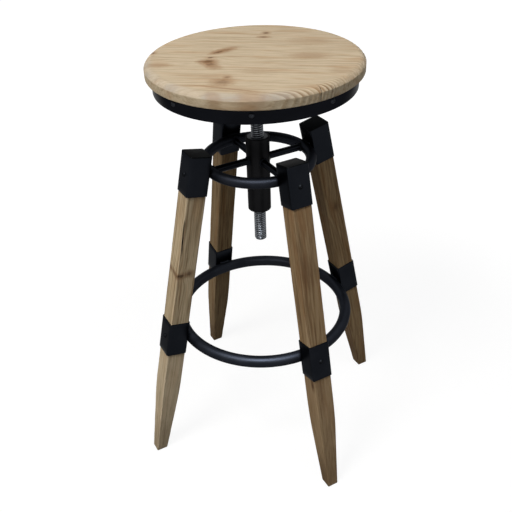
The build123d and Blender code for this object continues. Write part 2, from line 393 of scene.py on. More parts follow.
screwSkin = {"fleckAmount": 0.25, "peelSize": 0.8 * mm, "patchSize": 6 * mm, "bump": 0.03 * mm}
coats = {
    "blackSteel": coatLook((19, 21, 25), (23, 25, 29), (32, 34, 39), 0.28, 0.36),
    # the cap lids: the same black lacquer made darker, as painted shade
    "lidSteel": coatLook((11, 12, 13), (14, 15, 16), (20, 21, 23), 0.4, 0.5),
    "hubSteel": coatLook((22, 22, 23), (26, 26, 27), (35, 35, 37), 0.4, 0.5),
    # the hoop: the same black lacquer made darker, as painted shade
    "hoopSteel": coatLook((14, 15, 18), (17, 18, 22), (26, 27, 31), 0.28, 0.36),
    # the rings: the same black lacquer made lighter, as painted sheen
    "ringSteel": coatLook((25, 27, 32), (29, 31, 36), (37, 39, 45), 0.42, 0.5, fleckAmount=0.3),
    # the same black screws: the hoop ones lighter for a painted glint, the leg ones darker as painted shade
    "hoopScrew": coatLook((34, 36, 40), (41, 43, 47), (50, 52, 56), 0.34, 0.42, **screwSkin),
    "legScrew": coatLook((13, 14, 16), (16, 17, 19), (24, 25, 27), 0.52, 0.6, **screwSkin),
    "zincSteel": coatLook(
        (150, 152, 156), (188, 190, 192), (120, 116, 110), 0.24, 0.38, fleckAmount=0.4, specular=0.5,
        peelSize=1.2 * mm, patchSize=5 * mm, bump=0.02 * mm,
    ),
    "nutSteel": coatLook(
        (70, 72, 75), (98, 100, 104), (60, 52, 46), 0.32, 0.5, fleckAmount=0.4, specular=0.5, metallic=0.9,
        peelSize=1.0 * mm, patchSize=8 * mm, bump=0.03 * mm,
    ),
    "blackRubber": coatLook(
        (20, 20, 20), (30, 30, 30), (52, 51, 49), 0.72, 0.86, fleckAmount=0.3, specular=0.25, metallic=0.0,
        peelSize=0.9 * mm, patchSize=9 * mm,
    ),
    "bushPlastic": coatLook(
        (30, 31, 32), (38, 39, 40), (60, 60, 60), 0.4, 0.52, fleckAmount=0.15, specular=0.4, metallic=0.0,
        peelSize=1.1 * mm, patchSize=12 * mm, bump=0.03 * mm,
    ),
}
finish = {name: coatMaterial(name, look) for name, look in coats.items()}
print("coats made", len(finish))


# Wood: a ring field about the pith, bent round the knots

def waves(points, lengths, seed, count=6):
    draw = np.random.default_rng(seed)
    total = np.zeros(len(points))
    for wave in range(count):
        direction = draw.normal(size=3) / np.array(lengths)
        total += np.sin(fullTurn * points @ direction + draw.uniform(0, fullTurn))
    return total / math.sqrt(count)


def ringField(points, wood, knots):
    pithAcross, pithDepth = wood["pith"]
    field = np.hypot(points[:, 1] - pithAcross, points[:, 2] - pithDepth) / wood["ringWidth"]
    field += wood["wander"] * waves(points, wood["wanderLengths"], wood["seed"])
    for knot in knots:
        if "lift" in knot:
            offset = (points - np.array(knot["place"])) / (np.array(knot["half"]) * wood["knotPull"])
            field += knot["lift"] * np.exp(-(offset ** 2).sum(axis=1))
    return field


def lateRidge(field):
    share = field % 1
    return smoothStep(*lateRise, share) * (1 - smoothStep(*lateFall, share))


def carveWood(mesh, points, normals, sink, masks):
    # sinks the soft rings, and cuts a check for each depth and mask
    checks = np.zeros(len(points))
    for depth, mask in masks:
        sink = sink + depth * mask
        checks = np.maximum(checks, mask)
    movePoints(mesh, points - normals * sink[:, None])
    storeValue(mesh, "checkDepth", checks)


# Seat board: a turned pine round, brushed so that its hard rings stand proud

seatLook = {
    "early": linear(201, 183, 155), "late": linear(150, 121, 87), "warm": linear(183, 151, 117),
    "knotHalo": linear(148, 106, 67), "knotCore": linear(84, 54, 31), "check": linear(50, 39, 28),
    # the rubbed tone is partly wear and partly painted sheen on the round-over; the last tone paints shade
    # on the upright side
    "wornAndSheen": linear(170, 162, 151), "stainAndShadeColour": (0.87, 0.88, 0.87, 1.0),
    "lateAmount": 0.7, "streakAmount": 0.72, "fibreAmount": 0.5, "roughness": 0.58, "specular": 0.05,
    "bump": 0.25 * mm,
}
seatWood = {
    "pith": (28 * mm, -70 * mm), "ringWidth": 5.4 * mm, "wander": 1.1, "wanderLengths": (0.55, 0.3, 0.3),
    "seed": 11, "knotPull": 3.2, "knotDepth": 30 * mm, "grainAngle": -38,
}
boardSizes = {
    "topRound": 14.7 * mm, "sideHeight": 14 * mm, "arris": 0.7 * mm, "underRound": 1.5 * mm,
    "coreRadius": 166.7 * mm, "columns": 600, "topRows": 72, "roundRows": 13, "sideRows": 9, "underRows": 5,
    "relief": 0.10 * mm, "endRelief": 0.45 * mm, "farEndRelief": 0.16 * mm, "endTurn": (0.12, 0.6),
    "hiddenTurn": (-0.5 * mm, 2 * mm), "splitSway": 0.6 * mm, "swayLength": 5 * mm, "splitCore": 0.2,
    "splitFade": 0.4, "arrisSteps": [(-0.12, 0.3), (0, -0.5)],  # out and up from the edge, in arris widths
    "splitSteps": (-1.6, -1.0, -0.6, -0.3, 0, 0.3, 0.6, 1.0, 1.6),  # columns across a split, in its widths
    "splits": [
        {"angle": -86.0, "depth": 2.4 * mm, "width": 1.0 * mm, "reach": 15 * mm},
        {"angle": -79.5, "depth": 1.5 * mm, "width": 0.8 * mm, "reach": 5 * mm},
        {"angle": -77.6, "depth": 1.2 * mm, "width": 0.7 * mm, "reach": 4 * mm},
    ],
}
rimMarks = {  # places are degrees round the rim, from the X axis
    "rolledTurn": (-5 * mm, 9 * mm), "sideTurn": (-0.6 * mm, 0.8 * mm),
    # the band on the front-left round-over is partly wear, partly painted sheen on the side the key light
    # comes from
    "wornAndSheenMiddle": 205, "wornAndSheenReach": 54, "wornAndSheenFade": 9, "wornAndSheenLeast": 0.36, "wornAndSheenPatch": 0.4,
    "patchLengths": (0.07, 0.07, 0.05), "patchSeed": 5, "patchTurn": (-0.9, 0.7),
    "rippleMiddle": -92, "rippleReach": 17, "rippleFade": (-9, 7),
    "lateShare": 0.3, "rippleShare": 1.8, "sideRipple": 0.75,
}
seatMarks = [  # knots and streaks: where on the top, half sizes along and across, turn from the X axis
    {"at": (-29, 51), "half": (16, 7.0), "turn": 5, "core": 0.26, "halo": 0.65, "lift": 1.2},
    {"at": (-43, 47.5), "half": (11, 4.6), "turn": 8, "core": 0.65, "halo": 0.4},
    {"at": (-64, 30), "half": (6.5, 3), "turn": -30, "core": 0.85, "halo": 0.3},
    {"at": (-76, 15), "half": (10.5, 8.6), "turn": -20, "core": 0.8, "halo": 0.65, "lift": 1.6},
    {"at": (-86, 22), "half": (6, 3.5), "turn": -38, "core": 0.2, "halo": 0.35},
    {"at": (-79, 1), "half": (9, 8), "turn": -60, "core": 0.5, "halo": 0.5},
    {"at": (-80, -14), "half": (9, 7), "turn": -60, "core": 0.05, "halo": 0.45},
    {"at": (-98, -80), "half": (13, 10), "turn": -38, "core": 0.32, "halo": 0.5, "lift": 1.3},
    {"at": (-83, -66), "half": (5, 5.5), "turn": -38, "core": 0.35, "halo": 0.35},
    {"at": (-101, -112), "half": (36, 1.8), "turn": -48.6, "core": 0.16, "halo": 0.45},
    {"at": (-132, -116), "half": (9, 5), "turn": -70, "core": 0, "halo": 0.3},
    {"at": (-88, -154), "half": (16, 9), "turn": -48, "core": 0, "halo": 0.35},
    {"at": (-102, -110), "half": (30, 9), "turn": -46, "core": 0, "halo": 0.22},
    {"at": (75, 95), "half": (6, 5.5), "turn": -38, "core": 0.7, "halo": 0.5, "lift": 0.9},
    {"at": (60, 77), "half": (9, 4.4), "turn": -38, "core": 0.5, "halo": 0.5},
    {"at": (72, -52), "half": (23, 10), "turn": -36, "core": 0.05, "halo": 0.36, "lift": 1.0},
    {"at": (108, 12), "half": (27, 12), "turn": -38, "core": 0, "halo": 0.3},
    {"at": (-34, -66), "half": (18, 8), "turn": -38, "core": 0, "halo": 0.25},
    {"at": (76, -138), "half": (12, 9), "turn": -38, "core": 0, "halo": 0.25},
    {"at": (-134, 106), "half": (6, 4.5), "turn": 60, "core": 0.8, "halo": 0.4},
    {"at": (-150, 45), "half": (13, 8), "turn": -38, "core": 0.04, "halo": 0.36},
]


def toGrain(points, top):
    angle = math.radians(seatWood["grainAngle"])
    along = points[:, 0] * math.cos(angle) + points[:, 1] * math.sin(angle)
    across = points[:, 1] * math.cos(angle) - points[:, 0] * math.sin(angle)
    return np.stack([along, across, points[:, 2] - top], axis=1)


def seatKnots(top):
    knots = []
    for mark in seatMarks:
        x, y = mark["at"]
        place = toGrain(np.array([[x * mm, y * mm, top]]), top)[0]
        along, across = mark["half"]
        knot = {key: mark[key] for key in ("core", "halo", "lift") if key in mark}
        knot["place"] = tuple(place)
        knot["half"] = (along * mm, across * mm, seatWood["knotDepth"])
        knot["turn"] = mark["turn"] - seatWood["grainAngle"]
        knots.append(knot)
    return knots


def boardPlan():
    low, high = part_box("seat_board")
    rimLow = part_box("hoop")[1].z
    edge = rimLow + boardSizes["sideHeight"]
    drop = high.z - edge
    flat = high.x - math.sqrt(drop * (2 * boardSizes["topRound"] - drop))
    return {"radius": high.x, "top": high.z, "bottom": low.z, "rimLow": rimLow, "edge": edge, "flat": flat}


def boardProfile(plan):
    # from the middle of the top, over the rim, to the middle underneath
    radius, top, rimLow, edge, flat = (plan[key] for key in ("radius", "top", "rimLow", "edge", "flat"))
    big, small, ease = boardSizes["topRound"], boardSizes["underRound"], boardSizes["arris"]
    core, bottom = boardSizes["coreRadius"], plan["bottom"]
    meet = math.degrees(math.asin((big - (top - edge)) / big))  # where the round-over meets the side
    profile = [(r, top) for r in np.linspace(0, flat, boardSizes["topRows"])[:-1]]
    profile += arc((flat, top - big), big, 90, meet + math.degrees(ease / big), boardSizes["roundRows"])
    profile += [(radius + out * ease, edge + up * ease) for out, up in boardSizes["arrisSteps"]]
    levels = np.linspace(edge - 2 * ease, rimLow + small, boardSizes["sideRows"])
    profile += [(radius, z) for z in levels[:-1]]
    profile += arc((radius - small, rimLow + small), small, 0, -90, boardSizes["underRows"])
    profile += [(core, rimLow), (core, bottom), (core / 2, bottom), (0, bottom)]
    return profile


def boardAngles(radius):
    angles = set(evenAngles(boardSizes["columns"]))
    for split in boardSizes["splits"]:
        middle = math.radians(split["angle"]) % fullTurn
        for step in boardSizes["splitSteps"]:
            angles.add(middle + step * split["width"] / radius)
    return np.array(sorted(angles))


def splitMasks(points, radius):
    turns = np.arctan2(points[:, 1], points[:, 0])
    reach = np.hypot(points[:, 0], points[:, 1])
    sway = boardSizes["splitSway"] * np.sin(points[:, 2] / boardSizes["swayLength"])
    for split in boardSizes["splits"]:
        aside = np.abs((turns - math.radians(split["angle"])) * reach + sway)
        mask = 1 - smoothStep(boardSizes["splitCore"] * split["width"], split["width"], aside)
        fade = boardSizes["splitFade"] * split["reach"]
        mask *= smoothStep(radius - split["reach"], radius - fade, reach)
        yield split["depth"], mask


def storeRimMarks(mesh, points, plan):
    marks, edge, flat = rimMarks, plan["edge"], plan["flat"]
    reach = np.hypot(points[:, 0], points[:, 1])
    degrees = np.degrees(np.arctan2(points[:, 1], points[:, 0]))
    rolled = smoothStep(*marks["rolledTurn"], reach - flat)  # 0 on the flat top, 1 past its edge
    below = 1 - smoothStep(*marks["sideTurn"], points[:, 2] - edge)  # 1 on the upright side
    patchy = smoothStep(*marks["patchTurn"], waves(points, marks["patchLengths"], marks["patchSeed"]))
    # a band on the front-left round-over: partly wear, partly painted sheen where the key light falls
    aside = marks["wornAndSheenReach"] - np.abs(degrees % 360 - marks["wornAndSheenMiddle"])
    wornAndSheen = smoothStep(-marks["wornAndSheenFade"], marks["wornAndSheenFade"], aside) * rolled * (1 - below)
    aside = marks["rippleReach"] - np.abs(degrees - marks["rippleMiddle"])
    ripples = smoothStep(*marks["rippleFade"], aside) * rolled * (1 - marks["sideRipple"] * below)
    storeValue(mesh, "lateShare", marks["lateShare"] + marks["rippleShare"] * ripples)
    storeValue(mesh, "edgeWear", (marks["wornAndSheenLeast"] + marks["wornAndSheenPatch"] * patchy) * wornAndSheen)
    # the upright side is painted darker, as shade
    storeValue(mesh, "sideStain", below)


def makeSeatBoard():
    plan = boardPlan()
    top = plan["top"]
    rows = latheRows(boardProfile(plan), boardAngles(plan["radius"]))
    mesh = gridMesh("seatBoard", rows, sharpAngle=50)
    points, normals = readPoints(mesh), readPoints(mesh, "normal")
    knots = seatKnots(top)
    grain = toGrain(points, top)
    field = ringField(grain, seatWood, knots)
    aboveHoop = points[:, 2] - plan["rimLow"]
    shown = smoothStep(*boardSizes["hiddenTurn"], aboveHoop)  # nothing moves inside the hoop
    direction = math.radians(seatWood["grainAngle"])
    endGrain = np.abs(normals[:, 0] * math.cos(direction) + normals[:, 1] * math.sin(direction))
    endDepth = np.where(grain[:, 0] > 0, boardSizes["endRelief"], boardSizes["farEndRelief"])
    atEnd = smoothStep(*boardSizes["endTurn"], endGrain)
    depth = boardSizes["relief"] + (endDepth - boardSizes["relief"]) * atEnd
    sink = depth * (1 - lateRidge(field)) * shown
    splits = [(cut, mask * shown) for cut, mask in splitMasks(points, plan["radius"])]
    carveWood(mesh, points, normals, sink, splits)
    storeValue(mesh, "ringField", field)
    storeVector(mesh, "grainPoint", grain)
    storeRimMarks(mesh, points, plan)
    mesh.materials.append(pineMaterial("seatPine", seatLook, knots))
    piece = addPiece("seatBoard", mesh)
    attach(piece, "seat")
    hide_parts("seat_board")


makeSeatBoard()
print("seat board made")


# Legs: square pine posts, tapered to the foot on all four faces

legSizes = {
    "footRadius": 254.2 * mm, "splay": math.radians(12.35), "side": 36.5 * mm, "corner": 2 * mm,
    "tip": 22 * mm, "taper": 158 * mm, "taperEase": 0.2, "high": 649.5 * mm, "footRound": 4 * mm,
    "perSide": 24, "perCorner": 5, "footRows": 6, "taperRows": 44, "rows": 128, "relief": 0.2 * mm,
    "flatFoot": 4 * mm, "checkSway": 0.9 * mm, "swayLength": 13 * mm, "checkTaper": (0.45, 0.35),
    "checkCore": 0.4, "chipCore": 0.6,
}
legLook = {
    "early": linear(194, 175, 143), "late": linear(126, 100, 70), "warm": linear(168, 135, 98),
    "knotHalo": linear(120, 88, 60), "knotCore": linear(56, 38, 26), "check": linear(30, 22, 15),
    # the last tone darkens towards the foot and paints shade on one face
    "wornAndSheen": linear(214, 197, 168), "stainAndShadeColour": (0.5, 0.46, 0.42, 1.0),
    "lateAmount": 0.6, "streakAmount": 1.2, "fibreAmount": 0.6, "roughness": 0.64, "specular": 0.06,
    "bump": 0.25 * mm,
}
legWoods = {  # each post is cut from another part of the log; its tint is partly its stain and partly painted shade on the legs that stand in shade
    "left": {
        "pith": (-30, 52), "ringWidth": 3.4, "seed": 21, "stainAndShadeTint": (1.03, 1.03, 1.03), "lowWear": 0.5,
        "darkenedSide": (0, 0), "sideShade": 0.0,
    },
    "front": {
        "pith": (24, -44), "ringWidth": 3.0, "seed": 35, "stainAndShadeTint": (0.58, 0.495, 0.41), "lowWear": 0.5,
        "darkenedSide": (0, -1), "sideShade": 0.0,
    },
    "right": {
        "pith": (-48, -20), "ringWidth": 3.2, "seed": 47, "stainAndShadeTint": (0.68, 0.59, 0.49), "lowWear": 0.05,
        "darkenedSide": (-1, 0), "sideShade": 0.5,
    },
    "back": {
        "pith": (40, 34), "ringWidth": 3.1, "seed": 53, "stainAndShadeTint": (0.51, 0.45, 0.375), "lowWear": 0.1,
        "darkenedSide": (0, 1), "sideShade": 0.0,
    },
}
legGrain = {"wander": 0.5, "wanderLengths": (0.4, 0.12, 0.12), "knotPull": 3.5}
legTones = {  # heights along the leg over which wear, foot darkening and painted shade change
    "lowTurn": (220 * mm, 280 * mm), "footTurn": (20 * mm, 110 * mm), "shadeTurn": (120 * mm, 280 * mm),
    "footLeast": 0.5, "cornerWear": 0.5, "cornerTurn": (0.2, 0.6), "facingTurn": (0.3, 0.9),
}
legMarks = {  # along the leg from the floor, across it, and outwards
    "left": [
        {"place": (428, -13, 18), "half": (3.2, 6.5, 6), "turn": 50, "core": 0.5, "halo": 0.45},
        {"place": (425, 4, 18), "half": (3.8, 11, 7), "turn": 20, "core": 0.4, "halo": 0.5},
        {"place": (424, 18, 12), "half": (4.0, 6, 10), "core": 0.7, "halo": 0.55, "lift": 0.6},
        {"place": (427, 18, -5), "half": (5.5, 5, 6), "core": 0.5, "halo": 0.6, "lift": 0.8},
    ],
    "front": [
        {"place": (464, -6, 17), "half": (22, 6, 6), "core": 0.1, "halo": 0.4, "lift": 1.0},
        {"place": (236, -6, 17), "half": (40, 4, 5), "core": 0.06, "halo": 0.35},
        {"place": (238, -18, 11), "half": (9, 4, 4), "core": 0.6, "halo": 0.6, "lift": 0.6},
    ],
    "right": [{"place": (470, -17, 4), "half": (9, 6, 6), "core": 0.3, "halo": 0.4, "lift": 1.4}],
    "back": [{"place": (210, -17, -3), "half": (8, 5, 5), "core": 0.5, "halo": 0.5, "lift": 1.4}],
}
legChecks = {  # drying checks: from and to along the leg, across, outwards, half width, depth
    "left": [{"from": 452, "to": 545, "across": 18.2, "outwards": 15.6, "width": 2.2, "depth": 2.6}],
    "front": [{"from": 560, "to": 600, "across": -18.2, "outwards": 3.0, "width": 0.9, "depth": 0.9}],
    "back": [{"from": 330, "to": 420, "across": -18.2, "outwards": -6.0, "width": 0.9, "depth": 0.8}],
}
legChips = {  # pale wedges along a corner: wide end and tip along the leg, across, outwards, half width
    "front": [{"from": 318, "tip": 384, "across": -18.2, "outwards": 13.0, "width": 7.0, "wear": 1.1}],
}


def legFrame(side):
    turn = math.radians(legTurns[side])
    lean = legSizes["splay"]
    place = Matrix((
        (math.cos(lean), 0, -math.sin(lean), legSizes["footRadius"]),
        (0, 1, 0, 0),
        (math.sin(lean), 0, math.cos(lean), 0),
        (0, 0, 0, 1),
    ))
    return Matrix.Rotation(turn, 4, "Z") @ place


def legRows():
    # each line along the leg starts where it meets the floor
    sizes = legSizes
    tip = squareLoop(sizes["tip"], sizes["corner"], sizes["perSide"], sizes["perCorner"])
    full = squareLoop(sizes["side"], sizes["corner"], sizes["perSide"], sizes["perCorner"])
    lean, taper = sizes["splay"], sizes["taper"]
    rise = (full[:, 0] - tip[:, 0]) * math.sin(lean) + taper * math.cos(lean)
    start = -tip[:, 0] * math.sin(lean) / rise
    ease = sizes["taperEase"]
    rows = []
    for angle in np.radians(np.linspace(0, 90, sizes["footRows"])):  # the foot's edge is rounded off
        share = start + (1 - start) * sizes["footRound"] * (1 - math.cos(angle)) / taper
        row = np.column_stack([tip + (full - tip) * share[:, None], share * taper])
        middle = row.mean(axis=0)
        reach = np.linalg.norm((row - middle)[:, :2], axis=1)[:, None]
        rows.append(middle + (row - middle) * (1 - sizes["footRound"] * (1 - math.sin(angle)) / reach))
    begin = start + (1 - start) * sizes["footRound"] / taper
    for step in np.linspace(0, 1, sizes["taperRows"])[1:]:
        share = begin + (1 + ease - begin) * step
        width = share - np.maximum(share - 1 + ease, 0) ** 2 / (4 * ease)  # runs gently into the full width
        rows.append(np.column_stack([tip + (full - tip) * width[:, None], share * taper]))
    for level in np.linspace((1 + ease) * taper, sizes["high"], sizes["rows"])[1:]:
        rows.append(np.column_stack([full, np.full(len(full), level)]))
    return rows


def scaleMarks(marks):
    scaled = []
    for mark in marks:
        knot = dict(mark)
        knot["place"] = tuple(value * mm for value in mark["place"])
        knot["half"] = tuple(value * mm for value in mark["half"])
        scaled.append(knot)
    return scaled


def legCheckMasks(grain, side):
    for check in legChecks.get(side, []):
        start, end, width = (check[key] * mm for key in ("from", "to", "width"))
        sway = legSizes["checkSway"] * np.sin((grain[:, 0] - start) / legSizes["swayLength"])
        aside = np.hypot(grain[:, 1] - check["across"] * mm, grain[:, 2] - check["outwards"] * mm + sway)
        fadeIn, fadeOut = ((end - start) * share for share in legSizes["checkTaper"])
        taperIn = smoothStep(start, start + fadeIn, grain[:, 0])
        taperOut = 1 - smoothStep(end - fadeOut, end, grain[:, 0])
        inside = 1 - smoothStep(legSizes["checkCore"] * width, width, aside)
        yield check["depth"] * mm, inside * taperIn * taperOut


def legWear(grain, normals, side):
    atCorner = np.sort(np.abs(normals[:, :2]), axis=1)[:, 0]  # nought on a face, high on a corner
    wear = legWoods[side]["lowWear"] * (1 - smoothStep(*legTones["lowTurn"], grain[:, 0]))
    wear += legTones["cornerWear"] * smoothStep(*legTones["cornerTurn"], atCorner)
    for chip in legChips.get(side, []):
        start, tip = chip["from"] * mm, chip["tip"] * mm
        width = chip["width"] * mm * np.clip((tip - grain[:, 0]) / (tip - start), 0.01, 1)
        aside = np.hypot(grain[:, 1] - chip["across"] * mm, grain[:, 2] - chip["outwards"] * mm)
        near = (grain[:, 0] > start) & (grain[:, 0] < tip)
        inside = 1 - smoothStep(legSizes["chipCore"] * width, width, aside)
        wear = np.maximum(wear, chip["wear"] * near * inside)
    return wear


def legStainAndShade(grain, normals, side):
    own, least = legWoods[side], legTones["footLeast"]
    # darker towards the foot on every face and most on the darkened side; sideShade paints shade on that
    # side along the whole leg
    facing = normals[:, 0] * own["darkenedSide"][0] + normals[:, 1] * own["darkenedSide"][1]
    facing = smoothStep(*legTones["facingTurn"], facing)
    foot = (least + (1 - least) * facing) * (1 - smoothStep(*legTones["footTurn"], grain[:, 0]))
    deeper = 2 - smoothStep(*legTones["shadeTurn"], grain[:, 0])  # the painted shade is twice as dark below the sleeve
    return np.maximum(foot, own["sideShade"] * facing * deeper)


def makeLeg(side):
    where = side.capitalize()
    mesh = gridMesh("leg" + where, legRows(), ends=True)
    points, normals = readPoints(mesh), readPoints(mesh, "normal")
    grain = points[:, [2, 1, 0]]  # along, across, outwards
    own = legWoods[side]
    wood = legGrain | {
        "pith": tuple(value * mm for value in own["pith"]), "ringWidth": own["ringWidth"] * mm,
        "seed": own["seed"],
    }
    knots = scaleMarks(legMarks[side])
    field = ringField(grain, wood, knots)
    sink = legSizes["relief"] * (1 - lateRidge(field))
    sink *= smoothStep(0, legSizes["flatFoot"], grain[:, 0])  # the foot stays flat on the floor
    carveWood(mesh, points, normals, sink, legCheckMasks(grain, side))
    storeValue(mesh, "ringField", field)
    storeValue(mesh, "lateShare", np.ones(len(points)))
    storeValue(mesh, "edgeWear", legWear(grain, normals, side))
    storeValue(mesh, "sideStain", legStainAndShade(grain, normals, side))
    storeVector(mesh, "grainPoint", grain + np.array([0, own["seed"], 0]))
    look = dict(legLook)
    # each leg's tones are darkened by its tint: partly stain, partly painted shade
    for tone in ("early", "late", "warm", "knotHalo", "wornAndSheen"):
        look[tone] = tuple(value * share for value, share in zip(legLook[tone], own["stainAndShadeTint"] + (1.0,)))
    for knot in knots:
        along, across, outwards = knot["place"]
        knot["place"] = (along, across + own["seed"], outwards)
    mesh.materials.append(pineMaterial("legPine" + where, look, knots))
    mesh.transform(legFrame(side))
    piece = addPiece("leg" + where, mesh)
    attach(piece, "frame")
    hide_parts("leg_" + side)


for side in legTurns:
    makeLeg(side)
print("legs made", len(legTurns))


# Black steel: hoop, hub, square caps and sleeves

steelSizes = {
    "hoopWall": 3 * mm, "hoopRound": 0.6 * mm, "hubWall": 3 * mm, "hubRound": 0.8 * mm, "columns": 160,
    "roundSteps": 5,
}


def bandProfile(radius, wall, low, high, rounding):
    outer, inner = radius - rounding, radius - wall + rounding
    below, above = low + rounding, high - rounding
    profile = []
    for quarter, corner in enumerate(((outer, below), (outer, above), (inner, above), (inner, below))):
        profile += arc(corner, rounding, 90 * quarter - 90, 90 * quarter, steelSizes["roundSteps"])
    return profile


def makeBand(name, node, wall, rounding, coat, body):
    low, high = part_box(node)
    profile = bandProfile(high.x, wall, low.z, high.z, rounding)
    mesh = gridMesh(name, latheRows(profile, evenAngles(steelSizes["columns"])), wrap=True)
    mesh.materials.append(finish[coat])
    piece = addPiece(name, mesh)
    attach(piece, body)
    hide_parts(node)


makeBand("hoopBand", "hoop", steelSizes["hoopWall"], steelSizes["hoopRound"], "hoopSteel", "seat")
makeBand("hubTube", "hub_tube", steelSizes["hubWall"], steelSizes["hubRound"], "hubSteel", "frame")

squareSizes = {
    "side": 40 * mm, "wall": 1.5 * mm, "corner": 3 * mm, "lip": 0.35 * mm, "perSide": 6, "perCorner": 8,
    "capTop": 636 * mm, "capLength": 72.5 * mm, "lid": 1.5 * mm, "lidRound": 0.75 * mm,
    "sleeveMiddle": 278 * mm, "sleeveLength": 70 * mm, "leastCorner": 0.3 * mm,
    "lipShare": 0.3, "tubeRows": 8, "lidRows": 6,
}


def squareRow(inset, level):
    sizes = squareSizes
    corner = max(sizes["corner"] - inset, sizes["leastCorner"])
    loop = squareLoop(sizes["side"] - 2 * inset, corner, sizes["perSide"], sizes["perCorner"])
    return np.column_stack([loop, np.full(len(loop), level)])


def squareTube(name, low, high):
    lip, wall = squareSizes["lip"], squareSizes["wall"]
    part = squareSizes["lipShare"] * lip
    rows = [squareRow(lip, low), squareRow(part, low + part), squareRow(0, low + lip)]
    rows += [squareRow(0, level) for level in np.linspace(low, high, squareSizes["tubeRows"])[1:-1]]
    rows += [squareRow(0, high - lip), squareRow(part, high - part), squareRow(lip, high)]
    rows += [squareRow(wall, high), squareRow(wall, low)]
    return gridMesh(name, rows, wrap=True)


def squareLid(name, low, high):
    rounding = squareSizes["lidRound"]
    rows = [squareRow(0, low), squareRow(0, high - rounding)]
    for angle in np.radians(np.linspace(15, 90, squareSizes["lidRows"])):
        rows.append(squareRow(rounding * (1 - math.cos(angle)), high - rounding * (1 - math.sin(angle))))
    return gridMesh(name, rows, ends=True)


def addSteel(mesh, side, node, coat="blackSteel"):
    mesh.transform(legFrame(side))
    mesh.materials.append(finish[coat])
    piece = addPiece(mesh.name, mesh)
    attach(piece, "frame")
    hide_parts(node)


lean = math.cos(legSizes["splay"])
for side in legTurns:
    capTop = squareSizes["capTop"] / lean
    lidLow = capTop - squareSizes["lid"]
    sleeveLow = squareSizes["sleeveMiddle"] / lean - squareSizes["sleeveLength"] / 2
    sleeveHigh = sleeveLow + squareSizes["sleeveLength"]
    where = side.capitalize()
    addSteel(squareTube("cap" + where, capTop - squareSizes["capLength"], lidLow), side, "cap_" + side)
    addSteel(squareLid("capLid" + where, lidLow, capTop), side, "cap_lid_" + side, "lidSteel")
    addSteel(squareTube("sleeve" + where, sleeveLow, sleeveHigh), side, "sleeve_" + side)
print("caps and sleeves made")


# Geometry Nodes pieces

def geometryTree(name, inputs):
    tree = bpy.data.node_groups.new(name, "GeometryNodeTree")
    tree.interface.new_socket("Geometry", in_out="INPUT", socket_type="NodeSocketGeometry")
    for label, kind in inputs:
        tree.interface.new_socket(label, in_out="INPUT", socket_type="NodeSocket" + kind)
    tree.interface.new_socket("Geometry", in_out="OUTPUT", socket_type="NodeSocketGeometry")
    return tree, tree.nodes.new("NodeGroupInput").outputs


def endTree(tree, geometry, material):
    real = addNode(tree, "GeometryNodeRealizeInstances", {"Geometry": geometry}).outputs[0]
    smooth = addNode(tree, "GeometryNodeSetShadeSmooth", {"Geometry": real}).outputs[0]
    painted = addNode(tree, "GeometryNodeSetMaterial", {"Geometry": smooth, "Material": material})
    tree.links.new(painted.outputs[0], tree.nodes.new("NodeGroupOutput").inputs[0])


def circle(tree, steps, radius):
    inputs = {"Resolution": steps, "Radius": radius}
    return addNode(tree, "GeometryNodeCurvePrimitiveCircle", inputs).outputs[0]


def solveTree(name, tree, values, start=None):
    holder = addPiece(name + "Start", start or bpy.data.meshes.new(name + "Start"))
    modifier = holder.modifiers.new(name, "NODES")
    modifier.node_group = tree
    for socket in tree.interface.items_tree:
        if socket.in_out == "INPUT" and socket.name in values:
            modifier[socket.identifier] = values[socket.name]
    graph = bpy.context.evaluated_depsgraph_get()
    mesh = bpy.data.meshes.new_from_object(holder.evaluated_get(graph), depsgraph=graph)
    holder.modifiers.remove(modifier)
    bpy.data.objects.remove(holder)
    mesh.name = name
    return mesh


# Rings: round tube bent to a circle

ringSizes = {"ringSteps": 180, "tubeSteps": 36}


def makeRingTree():
    inputs = sockets("Float", "Ring Radius", "Tube Radius", "Height")
    inputs += sockets("Int", "Ring Steps", "Tube Steps") + sockets("Material", "Material")
    tree, given = geometryTree("bentTube", inputs)
    path = circle(tree, given["Ring Steps"], given["Ring Radius"])
    tube = addNode(tree, "GeometryNodeCurveToMesh", {"Curve": path})
    feed(tree, tube.inputs["Profile Curve"], circle(tree, given["Tube Steps"], given["Tube Radius"]))
    lift = addNode(tree, "ShaderNodeCombineXYZ", {"Z": given["Height"]}).outputs[0]
    placed = addNode(tree, "GeometryNodeTransform", {"Geometry": tube.outputs[0], "Translation": lift})
    endTree(tree, placed.outputs[0], given["Material"])
    return tree


def makeRing(name, node, tree):
    low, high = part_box(node)
    tubeRadius = (high.z - low.z) / 2
    mesh = solveTree(name, tree, {
        "Ring Radius": high.x - tubeRadius, "Tube Radius": tubeRadius, "Height": (low.z + high.z) / 2,
        "Ring Steps": ringSizes["ringSteps"], "Tube Steps": ringSizes["tubeSteps"],
        "Material": finish["ringSteel"],
    })
    piece = addPiece(name, mesh)
    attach(piece, "frame")
    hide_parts(node)


ringTree = makeRingTree()
makeRing("upperRing", "upper_ring", ringTree)
makeRing("footRing", "foot_ring", ringTree)
print("rings made")


# Spindle: a right-hand trapezoidal thread, worked out row by row on a cylinder

spindleSizes = {
    "pitch": 4 * mm, "threadDepth": 1.0 * mm, "tip": 2 * mm, "columns": 40, "rowsPerTurn": 10,
    "threadTurn": (0.36, 0.68), "endShare": 1e-4, "mergeGap": 0.005 * mm,
}
spindleLook = {
    "crest": linear(112, 116, 121), "root": linear(38, 39, 42), "oil": linear(58, 60, 63), "oilAmount": 0.6,
    "rootTurn": (0.15, 0.85), "roughness": 0.22, "oilRough": 0.12, "peelSize": 1.1 * mm,
    "patchSize": 9 * mm, "bump": 0.03 * mm, "bumpStrength": 0.5,
}


